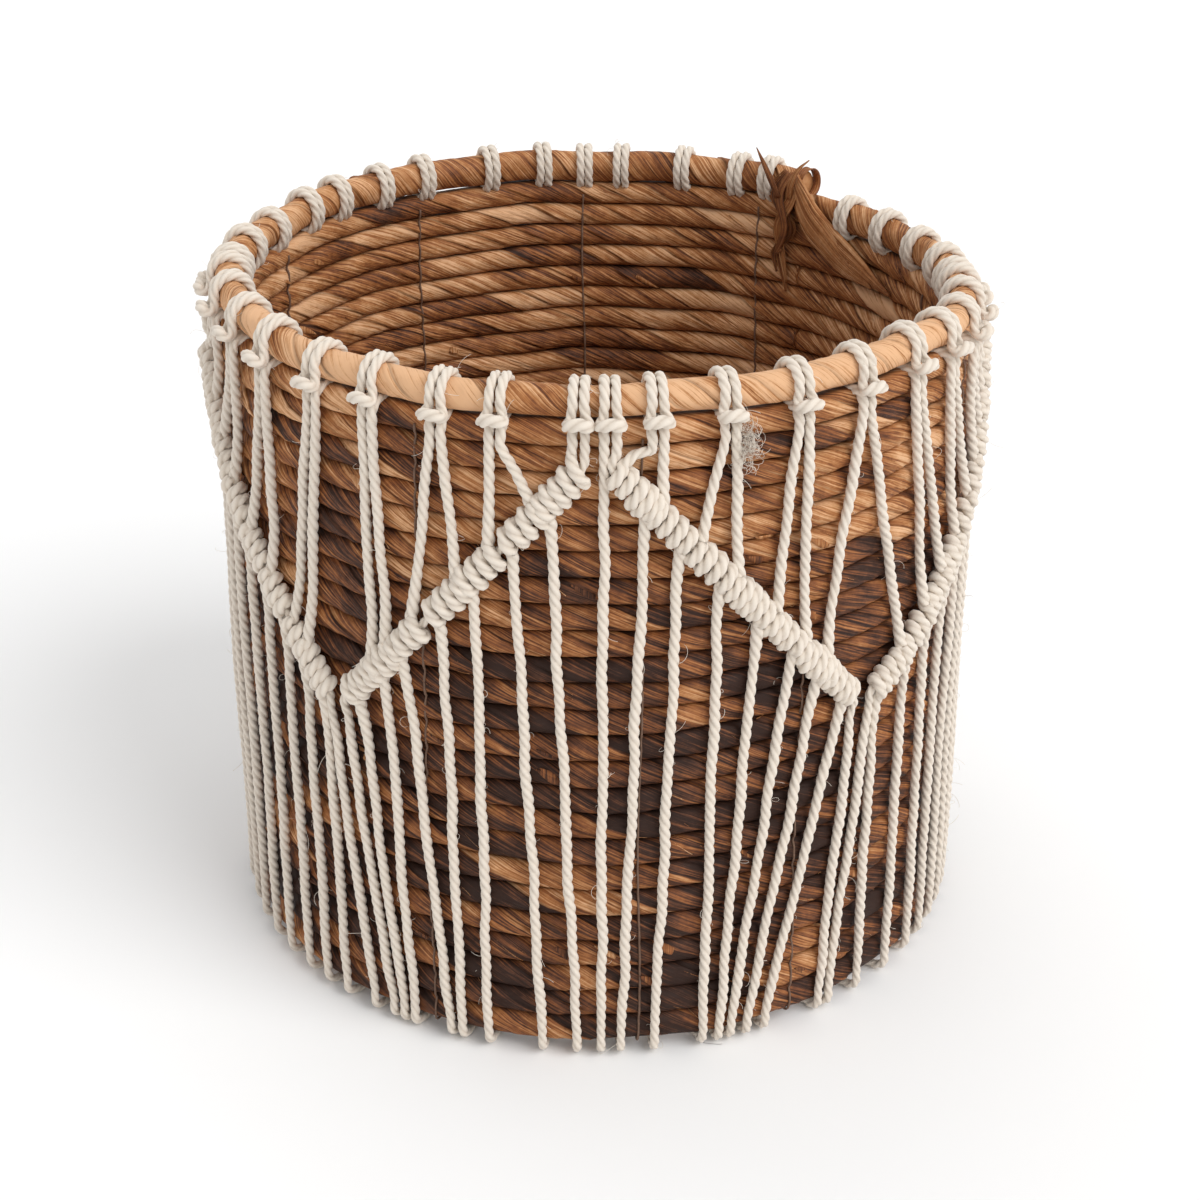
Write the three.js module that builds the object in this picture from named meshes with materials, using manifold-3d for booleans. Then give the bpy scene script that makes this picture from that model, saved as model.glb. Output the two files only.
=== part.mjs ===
// A round planter basket: a coiled leaf-rope basket dressed with a cotton macrame skirt.
// Millimetres, +Z up, origin at the middle of the underside. Angles are degrees round the basket:
// 0 is the front (-Y), +90 the right (+X). The wall rope climbs as the angle falls.
import * as THREE from 'three';
import Module from 'manifold-3d';
import { mergeVertices } from 'three/addons/utils/BufferGeometryUtils.js';

// ---------- driving dimensions ----------
const GAP = 0.3;
const COURSES_PER_LENGTH = 3;
const ROPE_LENGTHS = 8;
const PITCH_LOWEST = 12.25;
const PITCH_STEP = 0.3;
const WALL_BOTTOM = 5;
const WALL_OUTER_BOTTOM = 157;
const WALL_OUTER_TOP = 154.6;
const ROPE_HALF_WIDTH = 5.75;
const ROPE_FLAT_HALF = 3.2;
const SEGMENTS_PER_TURN = 24;
const SPLICE_ANGLE = 140;
const CLIMB_START = 50;
const CLIMB_END = 95;
const ROPE_START_TURN = 4 / SEGMENTS_PER_TURN;
const RIM_RADIUS = 149;
const RIM_ROPE_RADIUS = 5.5;
const RIM_CORD_GAP = 3;
const BASE_RADIUS = 138.6;
const BASE_THICKNESS = 11;
const BASE_EDGE = 2;
const CORD = 4.4;
const CORD_PROUD = 1.05;
const KNOT_SIDE = 2.4;
const BAR_SIDE = 3.2;
const BAR_DROP = 10;
const HITCH_HALF_WIDTH = 4.2;
const HITCH_HALF_THICK = 2;
const HITCH_PROUD = 4.75;
const HITCH_HALF_TALL = 6;
const HOLDING_HALF_WIDTH = 1.6;
const HOLDING_HALF_THICK = 0.7;
const HOLDING_START = 2.6;
const LOOP_REACH = 9.7;
const FACET_SHIFT = 0.6;
const TUCK_TOP = 12.5;
const PEAK_HEIGHT = 264;
const VALLEY_HEIGHT = 147;
const THREAD_THICK = 0.5;
const THREAD_WIDTH = 0.9;
const THREAD_ANGLES = [-25, 5.9, 30, 68.3, 103.2, 148.6, 182.7, 214.9, 249.6, 285];

// Flanks of the zigzag band: the peak and valley it joins, and how hollow its line is.
const FLANKS = [
  { peak: 0, valley: -38, bend: 1 },
  { peak: 0, valley: 38.5, bend: 1 },
  { peak: 91, valley: 42, bend: 1.3 },
  { peak: 91, valley: 132.5, bend: 1 },
  { peak: 179, valley: 135.5, bend: 1.1 },
  { peak: 179, valley: 225.5, bend: 1 },
  { peak: 273.5, valley: 229, bend: 1.1 },
  { peak: 273.5, valley: 319, bend: 0.9 },
];

// One row for each cord, anticlockwise from the front: the angle of its knot on the rim, then for its
// left and right strand the angle where it meets the band and the angle where it reaches the bottom.
// A strand that meets the band as 'hold' is the holding cord of that flank, 'free' passes it by.
const CORDS = [
  [-2.4, -4.8, -3, 'hold', -31.8],
  [1.7, 'free', 0.5, 'hold', 35],
  [7.8, 4.9, 3.4, 9.7, 8.3],
  [17.5, 15, 15.5, 20.6, 18],
  [28, 26, 19.9, 30.8, 22.5],
  [38.5, 34.8, 25.5, 45.8, 43],
  [50, 52.4, 50, 57.8, 56.5],
  [60, 62.6, 61.2, 67.6, 66],
  [70, 72, 70.6, 76, 75.4],
  [80, 79.8, 79.8, 83.2, 83.4],
  [88.9, 86.6, 87.6, 'hold', 37],
  [93, 'free', 91.3, 'hold', 130.5],
  [100, 96.6, 96, 102, 100.8],
  [110, 107.4, 105.6, 113, 110],
  [120, 118, 114, 123, 118],
  [129.5, 126.6, 122.5, 130.2, 126.6],
  [147.3, 139.6, 139.6, 144.8, 146.8],
  [153.5, 149.8, 150.4, 155, 154.4],
  [164, 160.4, 159, 166.4, 165],
  [175.6, 171.8, 172.4, 'hold', 135.4],
  [182.4, 'free', 179.4, 'hold', 223.4],
  [190, 187.4, 186, 192.6, 191],
  [200, 197.4, 195.6, 203, 200.4],
  [213, 209.6, 206.4, 215.8, 212.4],
  [222, 219.8, 217.4, 223.2, 219.6],
  [232, 231.4, 230.4, 235.4, 233.4],
  [240, 239.2, 237.2, 243.2, 241.6],
  [251, 248.6, 247.2, 254, 252],
  [262, 259.4, 258, 265, 263.4],
  [271.4, 269, 268.4, 'hold', 227],
  [275.5, 'free', 273.6, 'hold', 324.6],
  [285, 281.4, 281.8, 287, 288.2],
  [296, 291.8, 293.4, 297.2, 299.2],
  [307, 302.6, 304.4, 307.8, 310],
  [318, 313, 314.6, 316.5, 319],
  [328, 326.2, 330.1, 329.8, 332],
  [338.5, 333.8, 338, 339.8, 339.9],
  [346.7, 344.6, 344, 350.2, 352],
];

const ropeColour = 0xa8733f;
const tailColour = 0x8a5a34;
const baseColour = 0x7d5233;
const cottonColour = 0xe9e1d2;
const threadColour = 0x5b4030;

// ---------- places round the basket ----------
const radians = THREE.MathUtils.degToRad;

function place(angle, radius, height, shift = 0) {
  const turn = radians(angle) + shift / radius;
  return new THREE.Vector3(radius * Math.sin(turn), -radius * Math.cos(turn), height);
}

function pitchOfCourse(course) {
  const length = Math.floor(Math.max(course, 0) / COURSES_PER_LENGTH);
  return PITCH_LOWEST - PITCH_STEP * Math.min(length, ROPE_LENGTHS - 1);
}

function bottomOfCourse(course) {
  let height = WALL_BOTTOM;
  for (let below = 0; below < course; below += 1) {
    height += pitchOfCourse(below);
  }
  return height;
}

const COURSES = COURSES_PER_LENGTH * ROPE_LENGTHS;
const WALL_TOP = bottomOfCourse(COURSES);
const RIM_HEIGHT = WALL_TOP + RIM_CORD_GAP + RIM_ROPE_RADIUS;
const RIM_DROP = pitchOfCourse(COURSES - 1);

function wallOuter(height) {
  const share = (height - WALL_BOTTOM) / (WALL_TOP - WALL_BOTTOM);
  return THREE.MathUtils.lerp(WALL_OUTER_BOTTOM, WALL_OUTER_TOP, share);
}

// How far the rope has climbed to its next course, from 0 to 1, at a share of a turn past the splice.
function climb(share) {
  const angle = SPLICE_ANGLE - share * 360;
  return 1 - THREE.MathUtils.clamp((angle - CLIMB_START) / (CLIMB_END - CLIMB_START), 0, 1);
}

function courseMiddle(turn) {
  const whole = Math.floor(turn);
  const below = whole - 1;
  const middle = (course) => {
    if (course < 0) {
      return WALL_BOTTOM - pitchOfCourse(0) / 2;
    }
    return bottomOfCourse(course) + pitchOfCourse(course) / 2;
  };
  return THREE.MathUtils.lerp(middle(below), middle(below + 1), climb(turn - whole));
}

function rimDrop(angle) {
  const past = THREE.MathUtils.euclideanModulo(SPLICE_ANGLE - angle, 360) / 360;
  return RIM_DROP * (1 - climb(past));
}

// ---------- ropes: a section drawn out along a path ----------
class RopePath extends THREE.Curve {
  constructor(firstTurn, lastTurn, placeAtTurn) {
    super();
    this.firstTurn = firstTurn;
    this.lastTurn = lastTurn;
    this.placeAtTurn = placeAtTurn;
  }

  getPoint(share) {
    return this.placeAtTurn(THREE.MathUtils.lerp(this.firstTurn, this.lastTurn, share));
  }

  getPointAt(share) {
    return this.getPoint(share);
  }

  getTangentAt(share) {
    return this.getTangent(share);
  }

  // Frames that stay upright all the way, so that the courses lie flat on each other.
  computeFrenetFrames(segments) {
    const frames = { tangents: [], normals: [], binormals: [] };
    for (let i = 0; i <= segments; i += 1) {
      const tangent = this.getTangentAt(i / segments);
      const binormal = new THREE.Vector3(tangent.y, -tangent.x, 0).normalize();
      frames.tangents.push(tangent);
      frames.normals.push(new THREE.Vector3(0, 0, 1));
      frames.binormals.push(binormal);
    }
    return frames;
  }
}

function outline(corners) {
  return new THREE.Shape(corners.map(([x, y]) => new THREE.Vector2(x, y)));
}

function drawOut(shape, path, steps) {
  return new THREE.ExtrudeGeometry(shape, { steps, curveSegments: 1, bevelEnabled: false, extrudePath: path });
}

function wallPlace(turn) {
  const height = courseMiddle(turn);
  const radius = wallOuter(height) - ROPE_HALF_WIDTH;
  return place(SPLICE_ANGLE - turn * 360, radius, height);
}

function wallRope(index) {
  const halfHeight = (pitchOfCourse(index * COURSES_PER_LENGTH) - GAP) / 2;
  const section = outline([
    [-halfHeight, -ROPE_FLAT_HALF],
    [-halfHeight, ROPE_FLAT_HALF],
    [0, ROPE_HALF_WIDTH],
    [halfHeight, ROPE_FLAT_HALF],
    [halfHeight, -ROPE_FLAT_HALF],
    [0, -ROPE_HALF_WIDTH],
  ]);
  const endGap = GAP / (Math.PI * WALL_OUTER_TOP);
  const first = index === 0 ? ROPE_START_TURN : index * COURSES_PER_LENGTH + endGap;
  const last = (index + 1) * COURSES_PER_LENGTH - endGap;
  const steps = Math.round((last - first) * SEGMENTS_PER_TURN);
  return drawOut(section, new RopePath(first, last, wallPlace), steps);
}

function rimPlace(turn) {
  const angle = SPLICE_ANGLE - turn * 360;
  return place(angle, RIM_RADIUS, RIM_HEIGHT - RIM_DROP * (1 - climb(turn)));
}

function rimRope() {
  const corners = [];
  for (let side = 0; side < 8; side += 1) {
    const turn = radians(22.5 + 45 * side);
    corners.push([RIM_ROPE_RADIUS * Math.cos(turn), RIM_ROPE_RADIUS * Math.sin(turn)]);
  }
  return drawOut(outline(corners), new RopePath(0.0004, 0.9996, rimPlace), SEGMENTS_PER_TURN);
}

// ---------- cords, threads and leaves: a four-sided section carried from station to station ----------
// A station is a place on the route, the way its outer face looks, and its half width and thickness.
function station(point, facing, halfWidth = CORD / 2, halfThick = CORD / 2) {
  return { point, facing, halfWidth, halfThick };
}

function facing(angle, out, up) {
  const turn = radians(angle);
  return new THREE.Vector3(out * Math.sin(turn), -out * Math.cos(turn), up).normalize();
}

function directions(points) {
  return points.map((point, i) => {
    const before = points[Math.max(i - 1, 0)];
    const after = points[Math.min(i + 1, points.length - 1)];
    const into = new THREE.Vector3().subVectors(point, before).normalize();
    const out = new THREE.Vector3().subVectors(after, point).normalize();
    return into.add(out).normalize();
  });
}

function carried(stations) {
  const along = directions(stations.map((stop) => stop.point));
  const positions = [];
  stations.forEach((stop, i) => {
    const normal = stop.facing.clone();
    normal.addScaledVector(along[i], -normal.dot(along[i])).normalize();
    const across = new THREE.Vector3().crossVectors(along[i], normal);
    for (const [wide, thick] of [[-1, -1], [1, -1], [1, 1], [-1, 1]]) {
      const corner = stop.point.clone();
      corner.addScaledVector(across, wide * stop.halfWidth);
      corner.addScaledVector(normal, thick * stop.halfThick);
      positions.push(corner.x, corner.y, corner.z);
    }
  });
  const faces = [];
  for (let i = 0; i < stations.length - 1; i += 1) {
    for (let side = 0; side < 4; side += 1) {
      const a = i * 4 + side;
      const b = i * 4 + ((side + 1) % 4);
      faces.push(a, a + 4, b, b, a + 4, b + 4);
    }
  }
  const end = (stations.length - 1) * 4;
  faces.push(0, 1, 2, 0, 2, 3, end, end + 2, end + 1, end, end + 3, end + 2);
  const geometry = new THREE.BufferGeometry();
  geometry.setAttribute('position', new THREE.Float32BufferAttribute(positions, 3));
  geometry.setIndex(faces);
  const solid = geometry.toNonIndexed();
  solid.computeVertexNormals();
  return solid;
}

// ---------- the zigzag band ----------
function flankOf(angle) {
  const turned = THREE.MathUtils.euclideanModulo(angle + 38, 360) - 38;
  for (const flank of FLANKS) {
    for (const lap of [0, -360]) {
      const low = Math.min(flank.peak, flank.valley) + lap;
      const high = Math.max(flank.peak, flank.valley) + lap;
      if (turned >= low && turned <= high) {
        return { ...flank, peak: flank.peak + lap, valley: flank.valley + lap, turned };
      }
    }
  }
  return { peak: turned + 1, valley: turned, bend: 1, turned };
}

function bandHeight(angle) {
  const flank = flankOf(angle);
  const share = (flank.turned - flank.valley) / (flank.peak - flank.valley);
  return VALLEY_HEIGHT + (PEAK_HEIGHT - VALLEY_HEIGHT) * share ** flank.bend;
}

// ---------- one macrame cord ----------
const onWall = (angle, height, proud, halfWidth, halfThick) =>
  station(place(angle, wallOuter(height) + proud, height), facing(angle, 1, 0), halfWidth, halfThick);
const resting = (angle, height) => onWall(angle, height, CORD_PROUD + CORD / 2);
const radiusAt = (angle, radius, height, out, up, halfWidth, halfThick) =>
  station(place(angle, radius, height), facing(angle, out, up), halfWidth, halfThick);

// The tucked end, from inside the bottom corner out to the lowest place on the wall.
function tuckedEnd(angle) {
  return [
    radiusAt(angle, BASE_RADIUS + 2.2, 9.6, -1, 0, 1.9, 1.8),
    radiusAt(angle, BASE_RADIUS + 2.6, 4, -1, -0.6, 1.9, 1.6),
    radiusAt(angle, BASE_RADIUS + 6, 2.5, -0.3, -1, 1.9, 1.7),
    radiusAt(angle, WALL_OUTER_BOTTOM + 0.6, 2.4, 0.5, -1, 2.2, 1.6),
    radiusAt(angle, WALL_OUTER_BOTTOM + 3, 6.2, 1, -0.3, 2.2, 1.8),
    resting(angle, TUCK_TOP),
  ];
}

function laidDown(fromAngle, fromHeight, toAngle, toHeight) {
  const pieces = Math.max(1, Math.ceil(Math.abs(toAngle - fromAngle) / 5));
  const stops = [];
  for (let i = 1; i < pieces; i += 1) {
    const share = i / pieces;
    const angle = THREE.MathUtils.lerp(fromAngle, toAngle, share);
    stops.push(resting(angle, THREE.MathUtils.lerp(fromHeight, toHeight, share)));
  }
  return stops;
}

// The hitch tied on the holding cord: the strand thickens and stands off the wall.
function hitch(angle) {
  const height = bandHeight(angle);
  const wrap = (z) => onWall(angle, z, HITCH_PROUD, HITCH_HALF_WIDTH, HITCH_HALF_THICK);
  return [
    resting(angle, height - HITCH_HALF_TALL - 4),
    wrap(height - HITCH_HALF_TALL),
    wrap(height + HITCH_HALF_TALL),
    resting(angle, height + HITCH_HALF_TALL + 4),
  ];
}

// The holding cord, from the valley up to the peak, thin and flat behind the hitches.
function holdingRun(knotAngle, bottomAngle) {
  const way = Math.sign(bottomAngle - knotAngle);
  const flank = FLANKS.find(({ peak, valley }) =>
    Math.abs(peak - knotAngle) < 10 && Math.sign(valley - peak) === way);
  const proud = CORD_PROUD + HOLDING_HALF_THICK;
  const start = flank.peak + way * HOLDING_START;
  const count = Math.ceil(Math.abs(start - flank.valley) / 4.5);
  const stops = [resting(flank.valley, bandHeight(flank.valley) - 8)];
  for (let i = 0; i <= count; i += 1) {
    const angle = THREE.MathUtils.lerp(flank.valley, start, i / count);
    stops.push(onWall(angle, bandHeight(angle), proud, HOLDING_HALF_WIDTH, HOLDING_HALF_THICK));
  }
  return { stops, angle: flank.valley };
}

// The loop over the rim on one side of the knot, from the strand on the wall to the bar in front.
function rimLoop(knotAngle, side) {
  const shiftAngle = THREE.MathUtils.radToDeg((side * KNOT_SIDE) / RIM_RADIUS);
  const angle = knotAngle + shiftAngle;
  const rim = RIM_HEIGHT - rimDrop(angle);
  const slot = rim - RIM_ROPE_RADIUS - RIM_CORD_GAP / 2;
  const outer = wallOuter(slot);
  const round = (turn, reach) => {
    const out = Math.cos(radians(turn));
    const up = Math.sin(radians(turn));
    const point = place(angle, RIM_RADIUS - FACET_SHIFT + reach * out, rim + reach * up);
    return station(point, facing(angle, -out, -up), 2.2, 2.1);
  };
  const barAngle = knotAngle + THREE.MathUtils.radToDeg((side * BAR_SIDE) / outer);
  return [
    radiusAt(angle, outer + 3.1, slot - 9, 1, 0, 2.2, 1.9),
    radiusAt(angle, outer + 2.2, slot - 3.6, 1, 0.3, 2.2, 1.15),
    radiusAt(angle, outer + 0.8, slot, 0.5, 1, 2.2, 1.05),
    radiusAt(angle, RIM_RADIUS - 4, slot, 0, 1, 2.2, 1.05),
    round(202, LOOP_REACH),
    round(142, LOOP_REACH),
    round(82, LOOP_REACH),
    round(24, LOOP_REACH),
    radiusAt(barAngle, outer + 4.9, rim - BAR_DROP, -1, 0, 2.2, 1.3),
  ];
}

function strand(knotAngle, side, band, bottomAngle) {
  const rimEnd = rimLoop(knotAngle, side);
  const topHeight = rimEnd[0].point.z;
  const topAngle = knotAngle + THREE.MathUtils.radToDeg((side * KNOT_SIDE) / RIM_RADIUS);
  const tuck = tuckedEnd(bottomAngle);
  if (band === 'free') {
    return [...tuck, ...laidDown(bottomAngle, TUCK_TOP, topAngle, topHeight), ...rimEnd];
  }
  if (band === 'hold') {
    const run = holdingRun(knotAngle, bottomAngle);
    const lower = laidDown(bottomAngle, TUCK_TOP, run.angle, run.stops[0].point.z);
    return [...tuck, ...lower, ...run.stops, ...rimEnd];
  }
  const tied = hitch(band);
  const lower = laidDown(bottomAngle, TUCK_TOP, band, tied[0].point.z);
  const upper = laidDown(band, tied[3].point.z, topAngle, topHeight);
  return [...tuck, ...lower, ...tied, ...upper, ...rimEnd];
}

function cord([knotAngle, leftBand, leftBottom, rightBand, rightBottom]) {
  const left = strand(knotAngle, -1, leftBand, leftBottom);
  const right = strand(knotAngle, 1, rightBand, rightBottom);
  return carried([...left, ...right.reverse()]);
}

// ---------- base, threads and the rope's leafy end ----------
function baseCoil() {
  const profile = [
    [0, 0],
    [BASE_RADIUS - BASE_EDGE, 0],
    [BASE_RADIUS, BASE_EDGE],
    [BASE_RADIUS, BASE_THICKNESS - BASE_EDGE],
    [BASE_RADIUS - BASE_EDGE, BASE_THICKNESS],
    [0, BASE_THICKNESS],
  ];
  const disc = new THREE.LatheGeometry(profile.map(([r, z]) => new THREE.Vector2(r, z)), 36);
  disc.rotateX(Math.PI / 2);
  return disc;
}

// How far inside the wall a thing must lie to clear the middles of the wall's flat facets.
const INSIDE_CLEAR = WALL_OUTER_BOTTOM * (1 - Math.cos(Math.PI / SEGMENTS_PER_TURN)) + GAP;

function bindingThread(angle) {
  const half = [THREAD_WIDTH / 2, THREAD_THICK / 2];
  const top = WALL_TOP - rimDrop(angle) - 5;
  const inner = (height) => wallOuter(height) - 2 * ROPE_HALF_WIDTH - INSIDE_CLEAR - 0.25;
  const low = WALL_BOTTOM + 5.5;
  return carried([
    radiusAt(angle, wallOuter(top) + 0.5, top, 1, 0, ...half),
    radiusAt(angle, WALL_OUTER_BOTTOM + 0.5, WALL_BOTTOM - 0.3, 1, -0.5, ...half),
    radiusAt(angle, WALL_OUTER_BOTTOM - 2, WALL_BOTTOM - 0.6, 0.3, -1, ...half),
    radiusAt(angle, inner(low) + 1.2, WALL_BOTTOM - 0.6, -0.5, -1, ...half),
    radiusAt(angle, inner(low), low, -1, 0, ...half),
    radiusAt(angle, inner(top), top, -1, 0, ...half),
  ]);
}

const LEAF_RADIUS = WALL_OUTER_TOP - 2 * ROPE_HALF_WIDTH - INSIDE_CLEAR;

function rimTail() {
  const radius = LEAF_RADIUS - 1.5;
  return carried([
    radiusAt(137.6, radius, 273, -1, 0, 9, 1.5),
    radiusAt(134.5, radius, 263, -1, 0, 8, 1.5),
    radiusAt(130, radius, 253, -1, 0, 6, 1.5),
    radiusAt(120, radius, 247, -1, 0, 4.5, 1.5),
    radiusAt(108, radius, 243, -1, 0, 1.5, 1),
  ]);
}

function spliceBunch() {
  const radius = LEAF_RADIUS - 2.5;
  return carried([
    radiusAt(142.6, radius, 291, -1, 0, 3, 1.5),
    radiusAt(142.6, radius, 281, -1, 0, 4.6, 2.4),
    radiusAt(142.8, radius, 258, -1, 0, 4.2, 2.4),
    radiusAt(143, radius, 234, -1, 0, 3, 1.6),
  ]);
}

// ---------- the rope's wedge start: what lies under the first course is cut off level ----------
const wasm = await Module();
wasm.setup();

function solidOf(geometry) {
  const bare = geometry.clone();
  bare.deleteAttribute('normal');
  bare.deleteAttribute('uv');
  const merged = mergeVertices(bare, 0.0001);
  const mesh = new wasm.Mesh({
    numProp: 3,
    vertProperties: new Float32Array(merged.attributes.position.array),
    triVerts: new Uint32Array(merged.index.array),
  });
  return new wasm.Manifold(mesh);
}

function cutLevel(geometry, height) {
  const below = new THREE.BoxGeometry(400, 400, 40);
  below.translate(0, 0, height - 20);
  const mesh = solidOf(geometry).subtract(solidOf(below)).getMesh();
  const cut = new THREE.BufferGeometry();
  cut.setAttribute('position', new THREE.Float32BufferAttribute(mesh.vertProperties, 3));
  cut.setIndex(Array.from(mesh.triVerts));
  return cut;
}

// ---------- assembly ----------
const planter = new THREE.Group();

function finish(color, roughness) {
  return new THREE.MeshStandardMaterial({ color, roughness, metalness: 0 });
}

function add(name, geometry, material) {
  const mesh = new THREE.Mesh(geometry, material);
  mesh.name = name;
  planter.add(mesh);
}

const numbered = (stem, index) => `${stem}_${String(index + 1).padStart(2, '0')}`;

add('base_coil', baseCoil(), finish(baseColour, 0.85));
for (let index = 0; index < ROPE_LENGTHS; index += 1) {
  const rope = wallRope(index);
  const shape = index === 0 ? cutLevel(rope, WALL_BOTTOM + 0.1) : rope;
  add(`wall_rope_${index + 1}`, shape, finish(ropeColour, 0.75));
}
add('rim_rope', rimRope(), finish(ropeColour, 0.7));
add('rim_tail', rimTail(), finish(tailColour, 0.8));
add('splice_bunch', spliceBunch(), finish(tailColour, 0.8));
THREAD_ANGLES.forEach((angle, index) => {
  add(numbered('binding_thread', index), bindingThread(angle), finish(threadColour, 0.8));
});
CORDS.forEach((row, index) => {
  add(numbered('cord', index), cord(row), finish(cottonColour, 0.9));
});

export default planter;
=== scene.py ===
"""A round planter basket: coiled leaf rope dressed with a knotted cotton skirt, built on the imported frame.

Working sizes are millimetres and degrees round the basket: 0 is the front (-Y), +90 the right (+X).
Meshes are written in metres. The wall rope climbs as the angle falls.
"""
import math

import bpy
import numpy as np
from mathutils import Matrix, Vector


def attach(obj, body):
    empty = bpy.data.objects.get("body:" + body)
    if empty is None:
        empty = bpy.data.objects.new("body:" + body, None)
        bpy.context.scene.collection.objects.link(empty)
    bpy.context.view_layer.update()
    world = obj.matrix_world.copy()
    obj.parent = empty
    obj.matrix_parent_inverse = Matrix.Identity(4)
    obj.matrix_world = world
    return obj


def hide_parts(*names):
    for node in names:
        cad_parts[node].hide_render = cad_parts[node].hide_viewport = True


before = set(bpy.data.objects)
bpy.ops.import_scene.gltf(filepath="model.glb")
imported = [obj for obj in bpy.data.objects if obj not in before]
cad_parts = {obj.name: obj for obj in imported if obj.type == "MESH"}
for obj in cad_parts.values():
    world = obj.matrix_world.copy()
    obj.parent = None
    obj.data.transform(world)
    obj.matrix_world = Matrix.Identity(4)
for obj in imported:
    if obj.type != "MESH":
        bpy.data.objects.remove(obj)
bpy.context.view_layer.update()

bpy.ops.object.select_all(action="DESELECT")

# ---------- measures shared with the frame ----------
MM = 0.001
COURSES_PER_LENGTH = 3
ROPE_LENGTHS = 8
PITCH_LOWEST = 12.25
PITCH_STEP = 0.3
WALL_BOTTOM = 5
WALL_OUTER_BOTTOM = 157
WALL_OUTER_TOP = 154.6
ROPE_HALF_WIDTH = 5.75
WALL_TURN = 2 * math.pi * 150.5
SPLICE_ANGLE = 140
CLIMB_START = 50
CLIMB_END = 95
ROPE_START_TURN = 4 / 24
RIM_RADIUS = 149
RIM_ROPE_RADIUS = 5.7
RIM_CORD_GAP = 3
RIM_LAY = 34
FRONT_SAG = 2
BACK_FULLNESS = 0.22
BASE_RADIUS = 138.6
BASE_THICKNESS = 11
BASE_PITCH = 11.2
BASE_HEART = 6
CORD = 4.2
PEAK_HEIGHT = 264
VALLEY_HEIGHT = 147
TUCK_TOP = 12.5
THREAD_ANGLES = [-25, 5.9, 30, 68.3, 103.2, 148.6, 182.7, 214.9, 249.6, 285]
FRAYED_CORD = 4

# The lowest that each kind of piece may reach over the ground.
LOWEST_ROPE = 0.25
LOWEST_CORD = 0.3
LOWEST_STRAW = 0.4

# Random waves start anywhere in a turn.
ANY_PHASE = (0, 6.28)

# A rope's ends draw in to this share of its section.
END_SHARE = 0.97
# Its relief is this much flatter where it meets the next course, past this share of its half height.
FLAT_RELIEF = 0.35
FLAT_FROM = 0.8
# Painted shade: the contact shadow in the groove between courses starts at this share of its half height.
GROOVE_SHADE_FROM = 0.86

# Flanks of the zigzag band: the peak and valley it joins, and how hollow its line is.
FLANKS = [
    (0, -38, 1), (0, 38.5, 1), (91, 42, 1.3), (91, 132.5, 1),
    (179, 135.5, 1.1), (179, 225.5, 1), (273.5, 229, 1.1), (273.5, 319, 0.9),
]

# One row for each cord, anticlockwise from the front: the angle of its knot on the rim, then for its
# left and right strand the angle where it meets the band and the angle where it reaches the bottom.
# A strand that meets the band as "hold" is the holding cord of that flank, "free" passes it by.
CORDS = [
    (-2.4, -4.8, -3, "hold", -31.8),
    (1.7, "free", 0.5, "hold", 35),
    (7.8, 4.9, 3.4, 9.7, 8.3),
    (17.5, 15, 15.5, 20.6, 18),
    (28, 26, 19.9, 30.8, 22.5),
    (38.5, 34.8, 25.5, 45.8, 43),
    (50, 52.4, 50, 57.8, 56.5),
    (60, 62.6, 61.2, 67.6, 66),
    (70, 72, 70.6, 76, 75.4),
    (80, 79.8, 79.8, 83.2, 83.4),
    (88.9, 86.6, 87.6, "hold", 37),
    (93, "free", 91.3, "hold", 130.5),
    (100, 96.6, 96, 102, 100.8),
    (110, 107.4, 105.6, 113, 110),
    (120, 118, 114, 123, 118),
    (129.5, 126.6, 122.5, 130.2, 126.6),
    (147.3, 139.6, 139.6, 144.8, 146.8),
    (153.5, 149.8, 150.4, 155, 154.4),
    (164, 160.4, 159, 166.4, 165),
    (175.6, 171.8, 172.4, "hold", 135.4),
    (182.4, "free", 179.4, "hold", 223.4),
    (190, 187.4, 186, 192.6, 191),
    (200, 197.4, 195.6, 203, 200.4),
    (213, 209.6, 206.4, 215.8, 212.4),
    (222, 219.8, 217.4, 223.2, 219.6),
    (232, 231.4, 230.4, 235.4, 233.4),
    (240, 239.2, 237.2, 243.2, 241.6),
    (251, 248.6, 247.2, 254, 252),
    (262, 259.4, 258, 265, 263.4),
    (271.4, 269, 268.4, "hold", 227),
    (275.5, "free", 273.6, "hold", 324.6),
    (285, 281.4, 281.8, 287, 288.2),
    (296, 291.8, 293.4, 297.2, 299.2),
    (307, 302.6, 304.4, 307.8, 310),
    (318, 313, 314.6, 316.5, 319),
    (328, 326.2, 330.1, 329.8, 332),
    (338.5, 333.8, 338, 339.8, 339.9),
    (346.7, 344.6, 344, 350.2, 352),
]


# ---------- places round the basket ----------
def place(angle, radius, height):
    turn = np.radians(np.asarray(angle, float))
    return np.stack([radius * np.sin(turn), -radius * np.cos(turn), height + 0 * turn], -1)


def outward(angle):
    return place(angle, 1.0, 0.0)


def angle_of(point):
    return math.degrees(math.atan2(point[0], -point[1]))


def angle_beside(point, angle):
    """The angle of a place, on the same lap as another angle."""
    own = angle_of(point)
    return own + 360 * round((angle - own) / 360)


def pitch_of_course(course):
    length = np.clip(np.asarray(course) // COURSES_PER_LENGTH, 0, ROPE_LENGTHS - 1)
    return PITCH_LOWEST - PITCH_STEP * length


COURSES = COURSES_PER_LENGTH * ROPE_LENGTHS
BOTTOMS = WALL_BOTTOM + np.concatenate([[0], np.cumsum(pitch_of_course(np.arange(COURSES)))])
WALL_TOP = float(BOTTOMS[-1])
RIM_HEIGHT = WALL_TOP + RIM_CORD_GAP + 5.5
RIM_DROP = float(pitch_of_course(COURSES - 1))


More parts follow.
